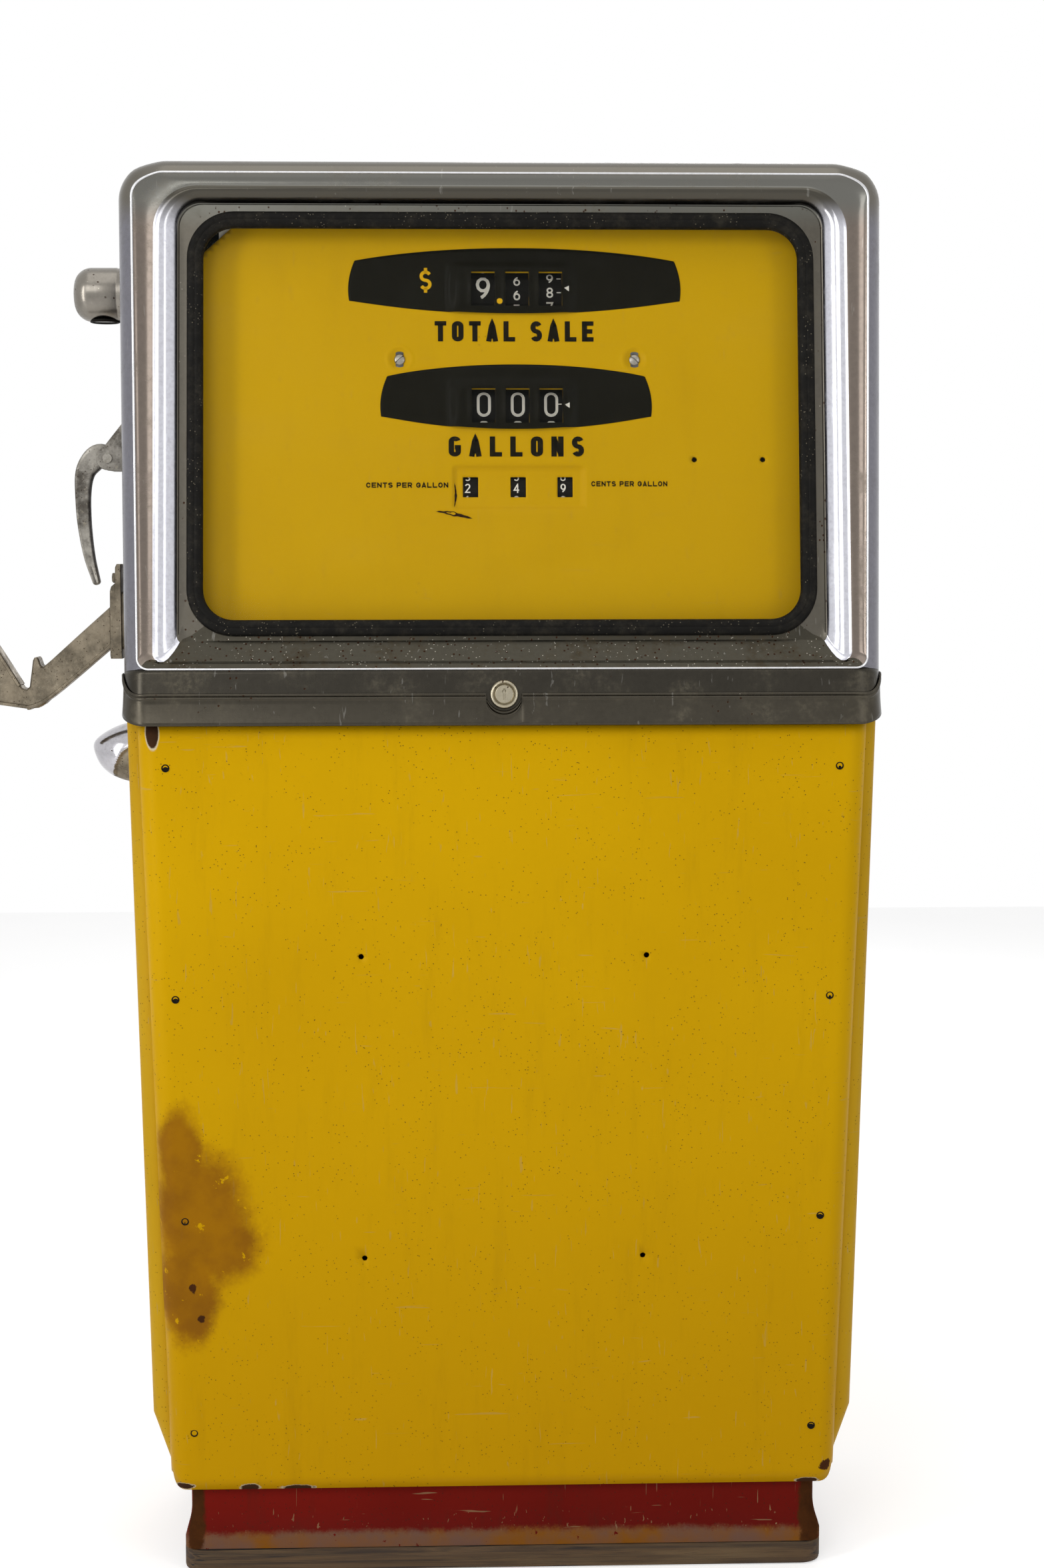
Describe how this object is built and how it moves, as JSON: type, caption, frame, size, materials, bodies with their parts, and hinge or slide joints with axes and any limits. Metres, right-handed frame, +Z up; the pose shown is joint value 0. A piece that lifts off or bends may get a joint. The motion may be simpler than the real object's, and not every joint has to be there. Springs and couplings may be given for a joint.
{
  "type": "gas pump",
  "caption": "Fuel dispenser cabinet with a sloped glazed dial door, rolled-edge lower panels, a recessed plinth, number-wheel register, belt-driven pump and side nozzle fittings.",
  "frame": {"origin": "centre of the base board's underside, on the floor", "axes": "+Z up, the dial faces -Y, +X to the dial reader's right"},
  "size_m": [0.9591, 0.4863, 1.5007],
  "materials": {
    "base_board": "weathered bare boards",
    "base_pan": "faded deep red paint, dusty",
    "front_panel": "worn yellow enamel",
    "rear_panel": "worn yellow enamel",
    "side_panel_left": "worn yellow enamel",
    "side_panel_right": "worn yellow enamel",
    "rear_blank_plate": "worn yellow enamel",
    "dial_face": "worn yellow enamel",
    "hood": "satin stainless sheet",
    "rear_bezel": "satin stainless sheet",
    "door_hinge": "satin stainless sheet",
    "lever_pin": "satin stainless sheet",
    "front_bezel": "satin stainless sheet",
    "skirt_band": "satin stainless sheet",
    "lock_body": "satin stainless sheet",
    "spout_boot": "satin stainless sheet",
    "hose_outlet": "satin stainless sheet",
    "glass_gasket": "dull black rubber",
    "drive_belt": "dull black rubber",
    "dial_glass": "clear",
    "dial_lamp_tube": "frosted white tube",
    "sale_wheel_1": "satin black",
    "sale_wheel_2": "satin black",
    "sale_wheel_3": "satin black",
    "gallon_wheel_1": "satin black",
    "gallon_wheel_2": "satin black",
    "gallon_wheel_3": "satin black",
    "price_wheel_1": "satin black",
    "price_wheel_2": "satin black",
    "price_wheel_3": "satin black",
    "lever_bracket": "rough casting, lightly rusted",
    "operating_lever": "rough casting, lightly rusted",
    "hanger_plate": "rough casting, lightly rusted",
    "hanger_arm": "rough casting, lightly rusted",
    "front_post_left": "grey primer",
    "front_post_right": "grey primer",
    "rear_post_left": "grey primer",
    "rear_post_right": "grey primer",
    "middle_shelf": "grey primer",
    "sale_shaft": "grey primer",
    "gallon_shaft": "grey primer",
    "price_shaft": "grey primer",
    "register_drive_shaft": "grey primer",
    "discharge_pipe": "grey primer",
    "suction_pipe": "grey primer",
    "pump_pulley": "grey primer",
    "motor_pulley": "grey primer",
    "lock_cam": "grey primer",
    "register_frame_left": "plain casting",
    "register_frame_right": "plain casting",
    "bevel_gearbox": "plain casting",
    "flow_meter": "plain casting",
    "dial_screw_left": "plain casting",
    "dial_screw_right": "plain casting",
    "lock_plug": "plain casting",
    "pump_unit": "dull green machine paint",
    "motor": "dull green machine paint",
    "air_separator": "dull green machine paint",
    "lampholder_left": "white",
    "lampholder_right": "white"
  },
  "bodies": {
    "cabinet": {"base_board": "base_board", "base_pan": "base_pan", "front_panel": "front_panel", "rear_panel": "rear_panel", "side_panel_left": "side_panel_left", "side_panel_right": "side_panel_right", "rear_blank_plate": "rear_blank_plate", "dial_face": "dial_face", "hood": "hood", "rear_bezel": "rear_bezel", "door_hinge": "door_hinge", "lever_pin": "lever_pin", "spout_boot": "spout_boot", "hose_outlet": "hose_outlet", "drive_belt": "drive_belt", "dial_lamp_tube": "dial_lamp_tube", "lever_bracket": "lever_bracket", "hanger_plate": "hanger_plate", "hanger_arm": "hanger_arm", "front_post_left": "front_post_left", "front_post_right": "front_post_right", "rear_post_left": "rear_post_left", "rear_post_right": "rear_post_right", "middle_shelf": "middle_shelf", "sale_shaft": "sale_shaft", "gallon_shaft": "gallon_shaft", "price_shaft": "price_shaft", "discharge_pipe": "discharge_pipe", "suction_pipe": "suction_pipe", "register_frame_left": "register_frame_left", "register_frame_right": "register_frame_right", "bevel_gearbox": "bevel_gearbox", "flow_meter": "flow_meter", "dial_screw_left": "dial_screw_left", "dial_screw_right": "dial_screw_right", "pump_unit": "pump_unit", "motor": "motor", "air_separator": "air_separator", "lampholder_left": "lampholder_left", "lampholder_right": "lampholder_right"},
    "front_door": {"front_bezel": "front_bezel", "skirt_band": "skirt_band", "glass_gasket": "glass_gasket", "dial_glass": "dial_glass", "lock_body": "lock_body"},
    "lock": {"lock_plug": "lock_plug", "lock_cam": "lock_cam"},
    "sale_wheel_1": {"sale_wheel_1": "sale_wheel_1"},
    "sale_wheel_2": {"sale_wheel_2": "sale_wheel_2"},
    "sale_wheel_3": {"sale_wheel_3": "sale_wheel_3"},
    "gallon_wheel_1": {"gallon_wheel_1": "gallon_wheel_1"},
    "gallon_wheel_2": {"gallon_wheel_2": "gallon_wheel_2"},
    "gallon_wheel_3": {"gallon_wheel_3": "gallon_wheel_3"},
    "price_wheel_1": {"price_wheel_1": "price_wheel_1"},
    "price_wheel_2": {"price_wheel_2": "price_wheel_2"},
    "price_wheel_3": {"price_wheel_3": "price_wheel_3"},
    "pump_pulley": {"pump_pulley": "pump_pulley"},
    "motor_pulley": {"motor_pulley": "motor_pulley"},
    "drive_shaft": {"register_drive_shaft": "register_drive_shaft"},
    "lever": {"operating_lever": "operating_lever"}
  },
  "joints": [
    {"name": "front_door_hinge", "type": "hinge", "parent": "cabinet", "child": "front_door", "pos_m": [0, -0.0915, 1.4978], "axis": [-1, 0, 0], "range_deg": [0, 60]},
    {"name": "lock_turn", "type": "hinge", "parent": "front_door", "child": "lock", "pos_m": [0, -0.23539, 0.95586], "axis": [0, 0.989, -0.1478], "range_deg": [0, 90]},
    {"name": "lever_swing", "type": "hinge", "parent": "cabinet", "child": "lever", "pos_m": [-0.4183, -0.06, 1.199], "axis": [0, 1, 0], "range_deg": [0, 85]},
    {"name": "drive_shaft_spin", "type": "hinge", "parent": "cabinet", "child": "drive_shaft", "pos_m": [-0.14, 0, 1], "axis": [0, 0, 1], "continuous": true},
    {"name": "pump_pulley_spin", "type": "hinge", "parent": "cabinet", "child": "pump_pulley", "pos_m": [0.05, -0.092, 0.187], "axis": [0, 1, 0], "continuous": true},
    {"name": "motor_pulley_spin", "type": "hinge", "parent": "cabinet", "child": "motor_pulley", "pos_m": [0.235, -0.092, 0.187], "axis": [0, 1, 0], "continuous": true},
    {"name": "sale_wheel_1_spin", "type": "hinge", "parent": "cabinet", "child": "sale_wheel_1", "pos_m": [-0.0185, -0.07607, 1.36228], "axis": [1, 0, 0], "continuous": true},
    {"name": "sale_wheel_2_spin", "type": "hinge", "parent": "cabinet", "child": "sale_wheel_2", "pos_m": [0.0165, -0.07607, 1.36228], "axis": [1, 0, 0], "continuous": true},
    {"name": "sale_wheel_3_spin", "type": "hinge", "parent": "cabinet", "child": "sale_wheel_3", "pos_m": [0.0515, -0.07607, 1.36228], "axis": [1, 0, 0], "continuous": true},
    {"name": "gallon_wheel_1_spin", "type": "hinge", "parent": "cabinet", "child": "gallon_wheel_1", "pos_m": [-0.0185, -0.09413, 1.24142], "axis": [1, 0, 0], "continuous": true},
    {"name": "gallon_wheel_2_spin", "type": "hinge", "parent": "cabinet", "child": "gallon_wheel_2", "pos_m": [0.0165, -0.09413, 1.24142], "axis": [1, 0, 0], "continuous": true},
    {"name": "gallon_wheel_3_spin", "type": "hinge", "parent": "cabinet", "child": "gallon_wheel_3", "pos_m": [0.0515, -0.09413, 1.24142], "axis": [1, 0, 0], "continuous": true},
    {"name": "price_wheel_1_spin", "type": "hinge", "parent": "cabinet", "child": "price_wheel_1", "pos_m": [-0.0325, -0.13417, 1.16288], "axis": [1, 0, 0], "continuous": true},
    {"name": "price_wheel_2_spin", "type": "hinge", "parent": "cabinet", "child": "price_wheel_2", "pos_m": [0.0165, -0.13417, 1.16288], "axis": [1, 0, 0], "continuous": true},
    {"name": "price_wheel_3_spin", "type": "hinge", "parent": "cabinet", "child": "price_wheel_3", "pos_m": [0.0655, -0.13417, 1.16288], "axis": [1, 0, 0], "continuous": true}
  ],
  "couplings": [
    {"joint": "motor_pulley_spin", "follows": "pump_pulley_spin", "ratio": 2.424},
    {"joint": "sale_wheel_2_spin", "follows": "sale_wheel_3_spin", "ratio": 0.1},
    {"joint": "sale_wheel_1_spin", "follows": "sale_wheel_3_spin", "ratio": 0.01},
    {"joint": "gallon_wheel_2_spin", "follows": "gallon_wheel_3_spin", "ratio": 0.1},
    {"joint": "gallon_wheel_1_spin", "follows": "gallon_wheel_3_spin", "ratio": 0.01},
    {"joint": "drive_shaft_spin", "follows": "gallon_wheel_3_spin", "ratio": 1}
  ]
}
